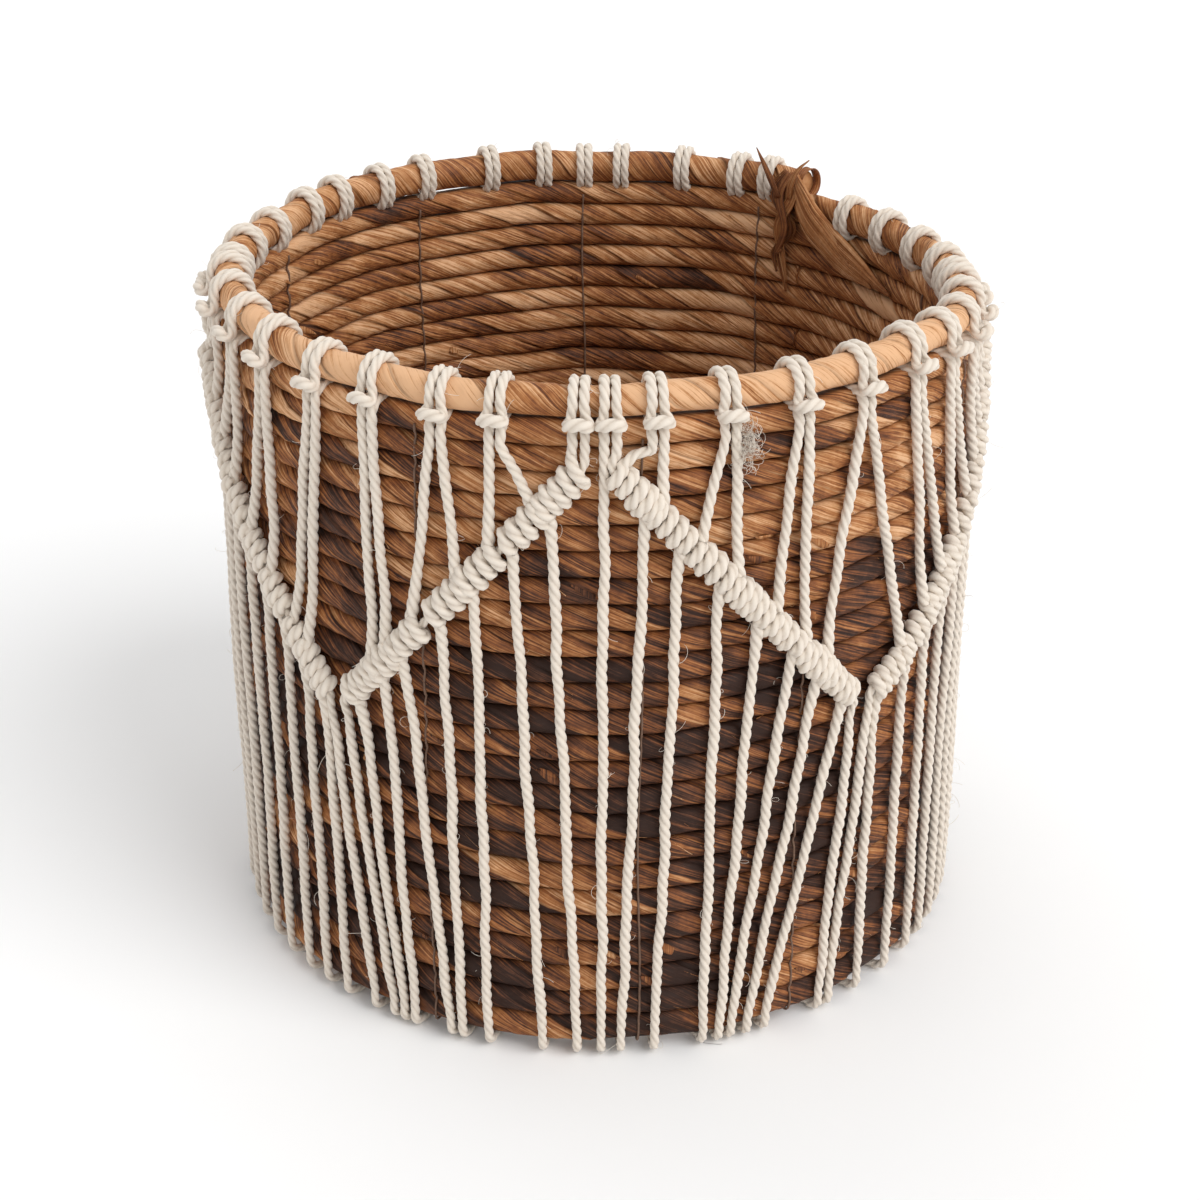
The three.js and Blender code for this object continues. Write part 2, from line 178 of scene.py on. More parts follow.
def wall_outer(height):
    share = (height - WALL_BOTTOM) / (WALL_TOP - WALL_BOTTOM)
    return WALL_OUTER_BOTTOM + (WALL_OUTER_TOP - WALL_OUTER_BOTTOM) * share


def climb(share):
    """How far the rope has climbed to its next course, from 0 to 1, at a share of a turn past the splice."""
    angle = SPLICE_ANGLE - share * 360
    return 1 - np.clip((angle - CLIMB_START) / (CLIMB_END - CLIMB_START), 0, 1)


def middle_of_course(course):
    course = np.asarray(course, int)
    inside = np.clip(course, 0, COURSES)
    middle = BOTTOMS[inside] + pitch_of_course(inside) / 2
    return np.where(course < 0, WALL_BOTTOM - PITCH_LOWEST / 2, middle)


def course_middle(turn):
    whole = np.floor(turn)
    low, high = middle_of_course(whole - 1), middle_of_course(whole)
    return low + (high - low) * climb(turn - whole)


def rim_fullness(angle):
    """How much taller than round the rim rope is: it swells towards the back and closes on the wall."""
    return 1 + BACK_FULLNESS * np.sin(np.radians(np.asarray(angle, float)) / 2) ** 2


def rim_height(angle):
    past = np.mod(SPLICE_ANGLE - np.asarray(angle, float), 360) / 360
    pulled = FRONT_SAG * np.cos(np.radians(np.asarray(angle, float)) / 2) ** 4
    settled = RIM_ROPE_RADIUS * (rim_fullness(angle) - 1)
    return RIM_HEIGHT - RIM_DROP * (1 - climb(past)) - pulled - settled


def around_basket(coords):
    angle = np.degrees(np.arctan2(coords[:, 0], -coords[:, 1]))
    return angle, coords[:, 2], np.hypot(coords[:, 0], coords[:, 1])


def slow_wave(angle, height, seed):
    """Nine seeded waves round and up the wall, the same wherever they are asked for."""
    rng = np.random.default_rng(seed)
    waves = rng.integers(2, 17, 9), rng.uniform(-0.05, 0.05, 9), rng.uniform(0, 2 * np.pi, 9)
    total = 0
    for laps, rise, phase in zip(*waves):
        total = total + np.sin(laps * np.radians(angle) + rise * height + phase)
    return total / 3


def bulge(angle, height):
    """How far the handmade wall stands out or in from its true round."""
    return 0.45 * slow_wave(angle, height, 11)


def sway(angle, height):
    """How far a course runs above or below its true height."""
    fade = np.clip(np.asarray(height) / 40, 0, 1)
    return 0.55 * fade * slow_wave(angle, height, 12)


# ---------- meshes ----------
def new_mesh(name, points, faces, material):
    mesh = bpy.data.meshes.new(name)
    points = np.asarray(points, np.float32) * MM
    faces = np.asarray(faces, np.int32)
    mesh.vertices.add(len(points))
    mesh.vertices.foreach_set("co", points.ravel())
    mesh.loops.add(faces.size)
    mesh.loops.foreach_set("vertex_index", faces.ravel())
    mesh.polygons.add(len(faces))
    mesh.polygons.foreach_set("loop_start", np.arange(0, faces.size, faces.shape[1], dtype=np.int32))
    mesh.polygons.foreach_set("use_smooth", np.full(len(faces), True))
    mesh.update(calc_edges=True)
    mesh.validate()
    mesh.materials.append(material)
    piece = bpy.data.objects.new(name, mesh)
    bpy.context.scene.collection.objects.link(piece)
    return piece


def add_uv(piece, name, corners):
    layer = piece.data.uv_layers.new(name=name)
    layer.data.foreach_set("uv", (np.asarray(corners, np.float32) * MM).ravel())


def add_tint(piece, name, first, second):
    """A colour for each point that carries two shades, in its red and its green."""
    layer = piece.data.color_attributes.new(name=name, type="FLOAT_COLOR", domain="POINT")
    tint = np.zeros((len(first), 4), np.float32)
    tint[:, 0] = first
    tint[:, 1] = second
    tint[:, 3] = 1
    layer.data.foreach_set("color", tint.ravel())


def hand_over(piece, slot, *nodes):
    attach(piece, "root")
    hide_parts(*nodes)


# ---------- twisted leaf rope ----------
def wall_tone(coords):
    """How dark the leaf is over the wall, 0 pale straw to 1 dark brown. The inside has aged evenly."""
    angle, height, radius = around_basket(coords)
    heights = [0, 12, 30, 58, 72, 90, 105, 128, 150, 170, 190, 205, 225, 240, 265, 300]
    tones = [0.72, 0.74, 0.78, 0.75, 0.73, 0.72, 0.75, 0.76, 0.73, 0.69, 0.63, 0.58, 0.43, 0.29, 0.34, 0.3]
    patches = 0.1 * slow_wave(angle, height * 2.5, 31) + 0.07 * slow_wave(angle * 3, height * 4, 32)
    outside = np.interp(height, heights, tones) + patches
    inside = 0.3 + 0.6 * patches
    return np.where(radius < wall_outer(height) - ROPE_HALF_WIDTH, inside, outside)


def rim_tone(coords):
    angle, height, _ = around_basket(coords)
    behind = np.sin(np.radians(angle) / 2) ** 3
    return -0.1 + 0.42 * np.abs(behind) + 0.05 * slow_wave(angle * 2, height, 34)


def base_tone(coords):
    angle, _, radius = around_basket(coords)
    return 0.52 + 0.05 * slow_wave(angle, radius, 33)


def leaf_strips(rng, lines, step, strip_range):
    """Where the leaf edges fall along a rope, and what each does to the lines beside it."""
    edges = []
    at = rng.uniform(*strip_range)
    while at < lines * step:
        edges.append(int(at / step))
        at += rng.uniform(*strip_range)
    edges = np.array(edges)
    where = np.arange(lines)
    strip = np.searchsorted(edges, where, side="left")
    padded = np.concatenate([[-40], edges, [lines + 40]])
    after = (where - padded[strip] - 0.5) * step
    before = (padded[strip + 1] - where + 0.5) * step
    lift = rng.uniform(0.1, 0.85, len(padded))
    dip = rng.uniform(0.1, 0.8, len(padded)) * (1 + 1.5 * (rng.random(len(padded)) > 0.75))
    swell = rng.normal(0, 0.14, len(padded))
    height = lift[strip] * np.exp(-after / 4) - dip[strip + 1] * np.exp(-before / 1.6) + swell[strip]
    height += rng.normal(0, 0.11, lines)
    # Painted shade in the crack before each leaf edge, darker where the next strip dips deeper.
    shade = np.exp(-before / 1.1) * (0.5 + 0.5 * np.clip(dip[strip + 1], 0, 1))
    pull = np.zeros(lines)
    pull[edges] = 0.5 * step - 0.22
    beyond = np.clip(edges + 1, 0, lines - 1)
    pull[beyond] = -(0.5 * step - 0.22)
    tone = rng.normal(0, 1, len(padded))[strip]
    return height, shade, pull, tone


def rope_lumps(rng, run, around):
    """Nine long swellings and seven short knobs along and round a rope."""
    lumps = np.zeros_like(run)
    for wave in range(16):
        sizes, depths = ((11, 95), (0.04, 0.16)) if wave < 9 else ((5, 14), (0.03, 0.09))
        size = rng.uniform(*sizes)
        depth = rng.uniform(*depths)
        phase = rng.uniform(*ANY_PHASE)
        lumps += depth * np.sin(2 * np.pi * run / size + (wave % 5) * around[None, :] + phase)
    return lumps


def rope_ends(path, length, around, half_up, half_out):
    """What closes a rope: its first ring, its last ring, and the hub of each."""
    rings, hubs = [], []
    for at in (0.0, length):
        centre, out, up = path(np.full(len(around), at))
        rings.append(centre + up * (-np.cos(around) * half_up * END_SHARE)[:, None]
                     + out * (np.sin(around) * half_out * END_SHARE)[:, None])
        hubs.append(centre[:1])
    return [*rings, *hubs]


def rope_numbers(lines, sides, rows, along, length):
    """The point at each corner of the grid. The seam shares its line, and what is past an end its ring."""
    index = np.arange(lines * sides).reshape(lines, sides)
    index = np.concatenate([index, np.roll(index[:, :1], -rows, axis=0)], axis=1)
    column = np.arange(sides + 1) % sides
    first_ring = lines * sides + column[None, :] + 0 * index
    last_ring = first_ring + sides
    return np.where(along <= 0, first_ring, np.where(along >= length, last_ring, index))


def rope_caps(lines, sides):
    first_ring = lines * sides + np.arange(sides)
    last_ring = first_ring + sides
    first_hub = np.full(sides, lines * sides + 2 * sides)
    following = np.roll(np.arange(sides), -1)
    first_cap = np.stack([first_hub, first_ring[following], first_ring], -1)
    last_cap = np.stack([first_hub + 1, last_ring, last_ring[following]], -1)
    return [first_cap, last_cap]


def two_triangles(grid):
    """The corners of the two triangles in every square of a grid."""
    a, b, c, d = grid[:-1, :-1], grid[:-1, 1:], grid[1:, 1:], grid[1:, :-1]
    both = np.stack([np.stack([a, b, c], 2), np.stack([a, c, d], 2)], 2)
    return both.reshape(-1, 3, *grid.shape[2:])


def rope_piece(name, path, length, material, *, lay, sides, step, seed, half_up, half_out,
               square=2.0, strips=(10, 34), tone_of=wall_tone, spread=0.1, groove_shade_strength=0.85):
    """A closed twisted rope. Its mesh lines run along the leaf veins, so each leaf edge is a crisp step."""
    rng = np.random.default_rng(seed)
    rows = int(round(lay / step))
    step = lay / rows
    lines = rows + int(math.ceil(length / step)) + 2
    height, shade, pull, strip_tone = leaf_strips(rng, lines, step, strips)
    around = np.arange(sides + 1) * 2 * np.pi / sides
    ring = around[:sides]
    hold = np.clip(3 * np.sin(around / 2) ** 2, 0, 1)

    start = (np.arange(lines) - rows) * step
    vein = start[:, None] + hold[None, :] * pull[:, None]
    along = vein + lay * around[None, :] / (2 * np.pi)
    run = np.clip(along, 0, length)
    centre, out, up = path(run)
    relief = height[:, None] * hold[None, :] + rope_lumps(rng, run, around)
    cos, sin = np.cos(around)[None, :], np.sin(around)[None, :]
    round_off = (np.abs(cos) ** square + np.abs(sin) ** square) ** (-1 / square)
    flat = np.where(np.abs(cos) > FLAT_FROM, FLAT_RELIEF, 1.0)
    reach_up = half_up * round_off + relief * flat
    reach_out = half_out * round_off + relief
    points = centre + up * (-cos * reach_up)[..., None] + out * (sin * reach_out)[..., None]
    coords = np.concatenate(
        [points[:, :sides].reshape(-1, 3), *rope_ends(path, length, ring, half_up, half_out)])
    coords[:, 2] = np.maximum(coords[:, 2], LOWEST_ROPE)

    girth = 2 * np.pi * half_out
    lean = girth / math.hypot(girth, lay)
    across = np.broadcast_to(around * math.hypot(lay / (2 * math.pi), half_out), vein.shape)
    grid = two_triangles(rope_numbers(lines, sides, rows, along, length))
    corners = two_triangles(np.stack([vein * lean, across], -1))
    whole = (grid[:, 0] != grid[:, 1]) & (grid[:, 1] != grid[:, 2]) & (grid[:, 0] != grid[:, 2])
    faces = np.concatenate([grid[whole], *rope_caps(lines, sides)])
    corners = np.concatenate([corners[whole], np.zeros((2 * sides, 3, 2))])

    on_grid = slice(0, lines * sides)
    tone = tone_of(coords)
    tone[on_grid] += np.repeat(strip_tone * spread, sides)
    # Painted shade near the top and bottom of the section, where the contact shadow between courses falls.
    groove_shade = np.clip((np.abs(np.cos(ring)) - GROOVE_SHADE_FROM) / (1 - GROOVE_SHADE_FROM), 0, 1) ** 1.5
    # Painted shade for each point: the groove shadow or the shade in the crack at a leaf edge, whichever is
    # darker. It goes into the green of the leaf tint.
    painted_shade = np.zeros(len(coords))
    painted_shade[on_grid] = np.maximum(shade[:, None] * hold[None, :sides], groove_shade_strength * groove_shade[None, :]).ravel()
    used, faces = np.unique(faces, return_inverse=True)
    piece = new_mesh(name, coords[used], faces.reshape(-1, 3), material)
    add_uv(piece, "veins", corners.reshape(-1, 2))
    add_tint(piece, "leaf_tone_and_shade", tone[used], painted_shade[used])
    return piece


def up_and_out(centre, angle):
    out = outward(angle)
    up = np.zeros_like(centre)
    up[..., 2] = 1
    return out, up


def wall_path(first_turn):
    def path(run):
        turn = first_turn + run / WALL_TURN
        height = course_middle(turn)
        angle = SPLICE_ANGLE - turn * 360
        radius = wall_outer(height) - ROPE_HALF_WIDTH + bulge(angle, height)
        centre = place(angle, radius, height + sway(angle, height))
        return (centre, *up_and_out(centre, angle))
    return path


def rim_path(run):
    angle = SPLICE_ANGLE - 0.3 - run / (2 * np.pi * RIM_RADIUS) * 360
    height = rim_height(angle)
    centre = place(angle, RIM_RADIUS + bulge(angle, height), height + sway(angle, height))
    out, up = up_and_out(centre, angle)
    return centre, out, up * rim_fullness(angle)[..., None]


BASE_OUTER_TURN = BASE_RADIUS - BASE_PITCH / 2


def base_path(run):
    """A flat spiral, from its outside turn to its heart. The rope's down side is turned to face inwards."""
    radius = np.sqrt(np.maximum(BASE_OUTER_TURN ** 2 - run * BASE_PITCH / np.pi, 1))
    turned = (BASE_OUTER_TURN - radius) / BASE_PITCH * 360
    centre = place(-turned, radius, BASE_THICKNESS / 2 + 0 * radius)
    out = np.zeros_like(centre)
    out[..., 2] = -1
    return centre, out, outward(-turned)


def wall_ropes(material):
    for index in range(ROPE_LENGTHS):
        first = ROPE_START_TURN if index == 0 else index * COURSES_PER_LENGTH + 0.0004
        last = (index + 1) * COURSES_PER_LENGTH - 0.0004
        pitch = float(pitch_of_course(index * COURSES_PER_LENGTH))
        piece = rope_piece(
            f"leaf_rope_{index + 1}", wall_path(first), (last - first) * WALL_TURN, material,
            lay=62 + 7 * (index % 3), sides=24, step=1.65, seed=100 + index,
            half_up=pitch / 2 - 0.02, half_out=ROPE_HALF_WIDTH, square=2.5, strips=(12, 46), spread=0.19)
        hand_over(piece, "leaf_rope", f"wall_rope_{index + 1}")


def rim(material):
    piece = rope_piece(
        "rim_leaf_rope", rim_path, 2 * np.pi * RIM_RADIUS * 0.9985, material, lay=RIM_LAY, sides=28,
        step=1.3, seed=211, half_up=RIM_ROPE_RADIUS, half_out=RIM_ROPE_RADIUS, square=2.05,
        strips=(12, 34), tone_of=rim_tone, spread=0.1, groove_shade_strength=0.0)
    hand_over(piece, "leaf_rope", "rim_rope")


def base(material):
    length = (BASE_OUTER_TURN ** 2 - BASE_HEART ** 2) * np.pi / BASE_PITCH
    piece = rope_piece(
        "base_leaf_coil", base_path, length, material, lay=44, sides=16, step=2.6, seed=320,
        half_up=BASE_PITCH / 2 + 0.1, half_out=BASE_THICKNESS / 2 - 0.2, square=2.4,
        tone_of=base_tone, spread=0.08)
    hand_over(piece, "leaf_rope", "base_coil")


STRAW_SLIVERS = 520
STRAW_FLAPS = 150
STRAW_SPAN = (60, 2550)


def somewhere_on_wall(rng, sweeps, steps, wobble):
    """A random length of wall rope, and how far a line turns round it: mostly on its outer face."""
    index = rng.integers(0, ROPE_LENGTHS)
    sweep = rng.uniform(*sweeps)
    around = rng.choice([0.5, 0.5, 1.5]) * np.pi + rng.normal(0, wobble) + sweep * (steps - 0.5)
    return index, sweep, around


def line_over_rope(index, around, run, lift):
    """A line lifted off a length of wall rope, and the rope's middle beside it."""
    centre, out, up = wall_path(index * COURSES_PER_LENGTH + 0.2)(run)
    half_up = float(pitch_of_course(index * COURSES_PER_LENGTH)) / 2
    line = (centre - up * (np.cos(around) * (half_up + lift))[:, None]
            + out * (np.sin(around) * (ROPE_HALF_WIDTH + lift))[:, None])
    return line, centre


def leaf_flap(rng):
    """A torn edge of leaf that has come away from its rope at one end."""
    steps = np.linspace(0, 1, 6)
    index, sweep, around = somewhere_on_wall(rng, (0.4, 1.1), steps, 0.45)
    run = rng.uniform(*STRAW_SPAN) + 68 * sweep * (steps - 0.5) / (2 * np.pi)
    lift = 0.35 + rng.uniform(0.1, 1.6) * steps ** 2.5
    line, centre = line_over_rope(index, around, run, lift)
    off = line[3] - centre[3]
    across = np.cross(off, line[-1] - line[0])
    across /= np.linalg.norm(across)
    wide = rng.uniform(1.4, 4)
    widths = [wide * 0.7, wide, wide * 0.8, wide * 0.5, 0.3]
    points, faces, _ = leaf_blade(line, widths, 0.22, 1, rng, lambda _: across)
    return points, faces


def leaf_sliver(rng):
    """A thin sliver of leaf that lifts off its rope along a vein."""
    steps = np.linspace(0, 1, 7)
    index, sweep, around = somewhere_on_wall(rng, (0.3, 1.5), steps, 0.5)
    run = rng.uniform(*STRAW_SPAN) + rng.uniform(0.8, 1.7) * 40 * sweep * (steps - 0.5) / (2 * np.pi)
    lift = 0.25 + rng.uniform(0.1, 2.4) * np.abs(steps - rng.uniform(0, 0.5)) ** 2
    line, _ = line_over_rope(index, around, run, lift)
    return tube(line, rng.uniform(0.09, 0.26) * (1.05 - 0.8 * steps), 3)


def straw(material):
    """All the loose leaf on the wall as one piece."""
    rng = np.random.default_rng(77)
    kinds = ((leaf_sliver, STRAW_SLIVERS, (0.05, 0.6)), (leaf_flap, STRAW_FLAPS, (0.2, 0.75)))
    parts, tones = [], []
    for make, count, shades in kinds:
        for _ in range(count):
            points, faces = make(rng)
            parts.append((points, faces))
            tones.append(np.full(len(points), rng.uniform(*shades)))
    coords, faces = join_parts(parts)
    coords[:, 2] = np.maximum(coords[:, 2], LOWEST_STRAW)
    piece = new_mesh("loose_leaf_straw", coords, faces, material)
    add_uv(piece, "veins", coords[faces.ravel()][:, [0, 2]] * 3)
    add_tint(piece, "leaf_tone_and_shade", np.concatenate(tones), 0)
    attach(piece, "root")


# ---------- cords ----------
def sized(points, girth):
    """Stops that also carry how thick the cord is there."""
    return [np.append(point, girth) for point in points]


def smooth_run(stops, step):
    """A Catmull-Rom curve through the stops, cut into even steps."""
    stops = np.asarray(stops, float)
    ends = np.concatenate([2 * stops[:1] - stops[1:2], stops, 2 * stops[-1:] - stops[-2:-1]])
    a, b, c, d = ends[:-3], ends[1:-2], ends[2:-1], ends[3:]
    share = np.linspace(0, 1, 12, endpoint=False)[None, :, None]
    a, b, c, d = (x[:, None, :] for x in (a, b, c, d))
    fine = 0.5 * (2 * b + (c - a) * share + (2 * a - 5 * b + 4 * c - d) * share ** 2
                  + (3 * b - a - 3 * c + d) * share ** 3)
    fine = np.concatenate([fine.reshape(-1, stops.shape[1]), stops[-1:]])
    reach = np.concatenate([[0], np.cumsum(np.linalg.norm(np.diff(fine[:, :3], axis=0), axis=1))])
    even = np.linspace(0, reach[-1], max(3, int(round(reach[-1] / step)) + 1))
    return np.stack([np.interp(even, reach, column) for column in fine.T], -1), even


def steady_frames(points):
    """Two directions across the line at each point, turning as little as they can."""
    tangent = np.gradient(points, axis=0)
    tangent /= np.linalg.norm(tangent, axis=1)[:, None]
    normal = np.zeros_like(points)
    first = np.cross(tangent[0], [0, 0, 1.0])
    if np.linalg.norm(first) < 0.1:
        first = np.cross(tangent[0], [1.0, 0, 0])
    current = first / np.linalg.norm(first)
    for i, along in enumerate(tangent):
        current = current - along * (current @ along)
        current = current / math.sqrt(current @ current)
        normal[i] = current
    return normal, np.cross(tangent, normal)


def tube(points, radius, sides, section=None, turns=None):
    """A closed tube. section gives the reach for each side, and turns how far the section has turned."""
    normal, side = steady_frames(points)
    around = np.arange(sides) * 2 * np.pi / sides
    spin = around[None, :] + (0 if turns is None else turns[:, None])
    reach = np.broadcast_to(np.asarray(radius, float).reshape(-1, 1), (len(points), sides)).copy()
    if section is not None:
        reach *= section[None, :]
    rings = (points[:, None, :] + normal[:, None, :] * (np.cos(spin) * reach)[..., None]
             + side[:, None, :] * (np.sin(spin) * reach)[..., None])
    count = len(points)
    grid = np.arange(count * sides).reshape(count, sides)
    nxt = np.roll(grid, -1, axis=1)
    quads = np.stack([grid[:-1], nxt[:-1], nxt[1:], grid[1:]], -1).reshape(-1, 4)
    faces = np.concatenate([quads[:, [0, 1, 2]], quads[:, [0, 2, 3]]])
    hubs = count * sides
    low = np.stack([np.full(sides, hubs), nxt[0], grid[0]], -1)
    high = np.stack([np.full(sides, hubs + 1), grid[-1], nxt[-1]], -1)
    coords = np.concatenate([rings.reshape(-1, 3), points[:1], points[-1:]])
    return coords, np.concatenate([faces, low, high])


PLY_SIDES = 5
PLIES = 3
PLY_LAY = 14
PLY_OFFSET = 0.84
PLY_RADIUS = 1.32


def ply_section():
    """The reach of three round plies laid together, and how near each side is to a ply's crown."""
    off = np.abs((np.arange(PLY_SIDES * PLIES) % PLY_SIDES) * 120 / PLY_SIDES - 60)
    turn = np.radians(off)
    reach = PLY_OFFSET * np.cos(turn) + np.sqrt(PLY_RADIUS ** 2 - (PLY_OFFSET * np.sin(turn)) ** 2)
    return reach / 2.16, 1 - off / 60


def on_wall(angle, height, proud):
    radius = wall_outer(height) + bulge(angle, height) + proud
    return place(angle, radius, height)


# How far the middle of a cord stands off the wall where it lies on it.
LYING = 2.3


def laid(from_angle, from_height, to_angle, to_height):
    """Stops of a strand lying on the wall between two places, both left out."""
    count = max(2, int(abs(to_height - from_height) / 14))
    shares = np.arange(1, count) / count
    angles = from_angle + (to_angle - from_angle) * shares
    heights = from_height + (to_height - from_height) * shares
    wander = 0.13 * np.sin(heights / 13 + 7 * from_angle) + 0.1 * np.sin(heights / 5.1 + 3 * to_angle)
    return [on_wall(a, h, LYING) for a, h in zip(angles + wander, heights)]


def tucked_end(angle):
    return [
        place(angle, BASE_RADIUS + 2.6, 10.5),
        place(angle, BASE_RADIUS + 2.8, 5),
        place(angle, BASE_RADIUS + 6, 2.6),
        place(angle, WALL_OUTER_BOTTOM - 3, 2.3),
        place(angle, WALL_OUTER_BOTTOM + 1.8, 5),
        on_wall(angle, TUCK_TOP, LYING),
    ]


def flank_at(angle):
    turned = (angle + 38) % 360 - 38
    for peak, valley, bend in FLANKS:
        for lap in (0, -360):
            low, high = min(peak, valley) + lap, max(peak, valley) + lap
            if low <= turned <= high:
                return peak + lap, valley + lap, bend, turned
    return turned + 1, turned, 1, turned


def band_height(angle):
    peak, valley, bend, turned = flank_at(angle)
    share = (turned - valley) / (peak - valley)
    return VALLEY_HEIGHT + (PEAK_HEIGHT - VALLEY_HEIGHT) * share ** bend


# The band: how far its middle stands off the wall, and how far its wraps reach up, out and apart.
BAND_PROUD = 3.9
WRAP_WIDE = 4.2
WRAP_DEEP = 2.6
WRAP_PITCH = 5
WRAP_SPACE = (9.5, 24)


def band_spacing(angle):
    """The distance along the band between this strand and those beside it on the same flank."""
    peak, valley, _, turned = flank_at(angle)
    low, high = min(peak, valley), max(peak, valley)
    others = []
    for row in CORDS:
        for band in (row[1], row[3]):
            if isinstance(band, str):
                continue
            for lap in (0, -360):
                if low <= band + lap <= high and abs(band + lap - turned) > 0.01:
                    others.append(band + lap)
    nearer = sorted(abs(x - turned) for x in others)[:2]
    across = np.radians(float(np.mean(nearer))) * 158
    steep = (PEAK_HEIGHT - VALLEY_HEIGHT) / (np.radians(high - low) * 158)
    return across * math.hypot(1, steep)


def hitches(angle, rng):
    """Half hitches round the holding cord, from the side that the strand comes down to the side it leaves."""
    peak, valley, _, _ = flank_at(angle)
    way = math.copysign(1, valley - peak)
    height = band_height(angle)
    beyond = angle + way * 0.5
    near, far = on_wall(angle, height, BAND_PROUD), on_wall(beyond, band_height(beyond), BAND_PROUD)
    toward = (far - near) / np.linalg.norm(far - near)
    out = outward(angle)
    above = np.cross(out, toward) * way
    above *= math.copysign(1, above[2])
    space = min(max(band_spacing(angle), WRAP_SPACE[0]), WRAP_SPACE[1])
    wraps = max(2, int(round(space / WRAP_PITCH)))
    pitch = space / wraps
    turns = wraps - 0.5
    slack = rng.normal(0, 0.34, (wraps + 1, 3))
    stops = []
    for share in np.linspace(0, 1, wraps * 8 - 3):
        turn = share * turns * 2 * np.pi
        looser = [np.interp(share * wraps, np.arange(wraps + 1), column) for column in slack.T]
        along = (share - 0.5) * turns * pitch + 1.2 * looser[0]
        wide = WRAP_WIDE + looser[1]
        deep = WRAP_DEEP + 0.6 * looser[2]
        if math.sin(turn) < 0:
            deep *= 0.8
        stops.append(near + toward * along + above * wide * math.cos(turn) + out * deep * math.sin(turn))
    return stops


def holding_run(knot_angle, bottom_angle):
    way = math.copysign(1, bottom_angle - knot_angle)
    peak, valley, _ = next(
        f for f in FLANKS if abs(f[0] - knot_angle) < 10 and math.copysign(1, f[1] - f[0]) == way)
    start = peak + way * 2.0
    count = int(math.ceil(abs(start - valley) / 3))
    stops = [on_wall(valley + way * -0.2, band_height(valley) - 8, LYING)]
    for i in range(count + 1):
        angle = valley + (start - valley) * i / count
        stops.append(on_wall(angle, band_height(angle), BAND_PROUD - 0.4))
    return stops, valley


def rim_loop(knot_angle, side):
    """From the strand on the wall, through the gap under the rim, over the rim and down to the bar."""
    def at(shift, radius, height):
        angle = knot_angle + np.degrees(side * shift / RIM_RADIUS)
        lift = sway(angle, height)
        return place(angle, radius + bulge(angle, height), height + lift)

    rim_middle = float(rim_height(knot_angle + side))
    fullness = float(rim_fullness(knot_angle + side))
    outer = wall_outer(rim_middle - 8)
    gap = rim_middle - 1.4 - RIM_ROPE_RADIUS * fullness
    stops = [
        at(2.1, outer + 2.6, gap - 9),
        at(2.1, outer + 2.3, gap - 3.4),
        at(2.2, outer - 0.2, gap - 0.2),
        at(2.2, RIM_RADIUS - 3, gap),
    ]
    reach = RIM_ROPE_RADIUS + 1.8
    for turn in (215, 180, 145, 110, 75, 40, 12):
        lean = math.radians(turn)
        over = rim_middle + reach * fullness * math.sin(lean)
        stops.append(at(1.95, RIM_RADIUS + reach * math.cos(lean), over))
    stops.append(at(2.3, RIM_RADIUS + reach, rim_middle - 2.4))
    stops.append(at(3.3, outer + 3.2, rim_middle - 5))
    stops.append(at(3.9, outer + 5.2, rim_middle - 5.6))
    stops.append(at(2.6, outer + 6.7, rim_middle - 4.7))
    return stops, at(0, outer + 7, rim_middle - 4.2)


# How thick a cord is beside its own measure: at the knot's bar, in the wraps, along the holding cord,
# over the rim and where it is tucked in.
BAR_GIRTH = 1.18
WRAP_GIRTH = 1.2
HOLD_GIRTH = 0.85
LOOP_GIRTH = 0.94
TUCK_GIRTH = 0.9


def strand(knot_angle, side, band, bottom_angle, rng):
    loop, bar = rim_loop(knot_angle, side)
    top = float(loop[0][2])
    top_angle = knot_angle + math.degrees(side * 2.1 / RIM_RADIUS)
    tuck = sized(tucked_end(bottom_angle), TUCK_GIRTH)
    loop = [*sized(loop[:-1], LOOP_GIRTH), *sized(loop[-1:], BAR_GIRTH)]
    bar = sized([bar], BAR_GIRTH)[0]
    if band == "free":
        return [*tuck, *sized(laid(bottom_angle, TUCK_TOP, top_angle, top), 1), *loop], bar
    if band == "hold":
        run, valley = holding_run(knot_angle, bottom_angle)
        lower = laid(bottom_angle, TUCK_TOP, valley, float(run[0][2]))
        return [*tuck, *sized(lower, 1), *sized(run, HOLD_GIRTH), *loop], bar
    tied = hitches(band, rng)
    entry, leave = tied[0], tied[-1]
    lower = laid(bottom_angle, TUCK_TOP, angle_beside(leave, band), leave[2] - 2)
    upper = laid(angle_beside(entry, band), entry[2] + 2, top_angle, top)
    tied = [np.append(p, WRAP_GIRTH * (1 + rng.normal(0, 0.06))) for p in tied[::-1]]
    return [*tuck, *sized(lower, 1), *tied, *sized(upper, 1), *loop], bar


def fibre(start, lean, length, curl, rng):
    """A loose fibre: a short curling run from a place, leaning outwards."""
    count = 9
    lean = lean / np.linalg.norm(lean)
    side = np.cross(lean, rng.normal(size=3))
    side /= np.linalg.norm(side)
    steps = np.linspace(0, 1, count)
    bend = curl * 2 * np.pi * steps
    forward = np.concatenate([[0], np.cumsum(np.cos(bend[:-1]))]) / (count - 1)
    across = np.concatenate([[0], np.cumsum(np.sin(bend[:-1]))]) / (count - 1)
    third = np.cross(lean, side) * rng.normal(0, 0.25)
    return start + length * (forward[:, None] * lean + across[:, None] * side + (steps ** 2)[:, None] * third)


def join_parts(parts):
    """Several (points, faces) into one."""
    coords, faces, base_index = [], [], 0
    for points, own in parts:
        coords.append(points)
        faces.append(own + base_index)
        base_index += len(points)
    return np.concatenate(coords), np.concatenate(faces)


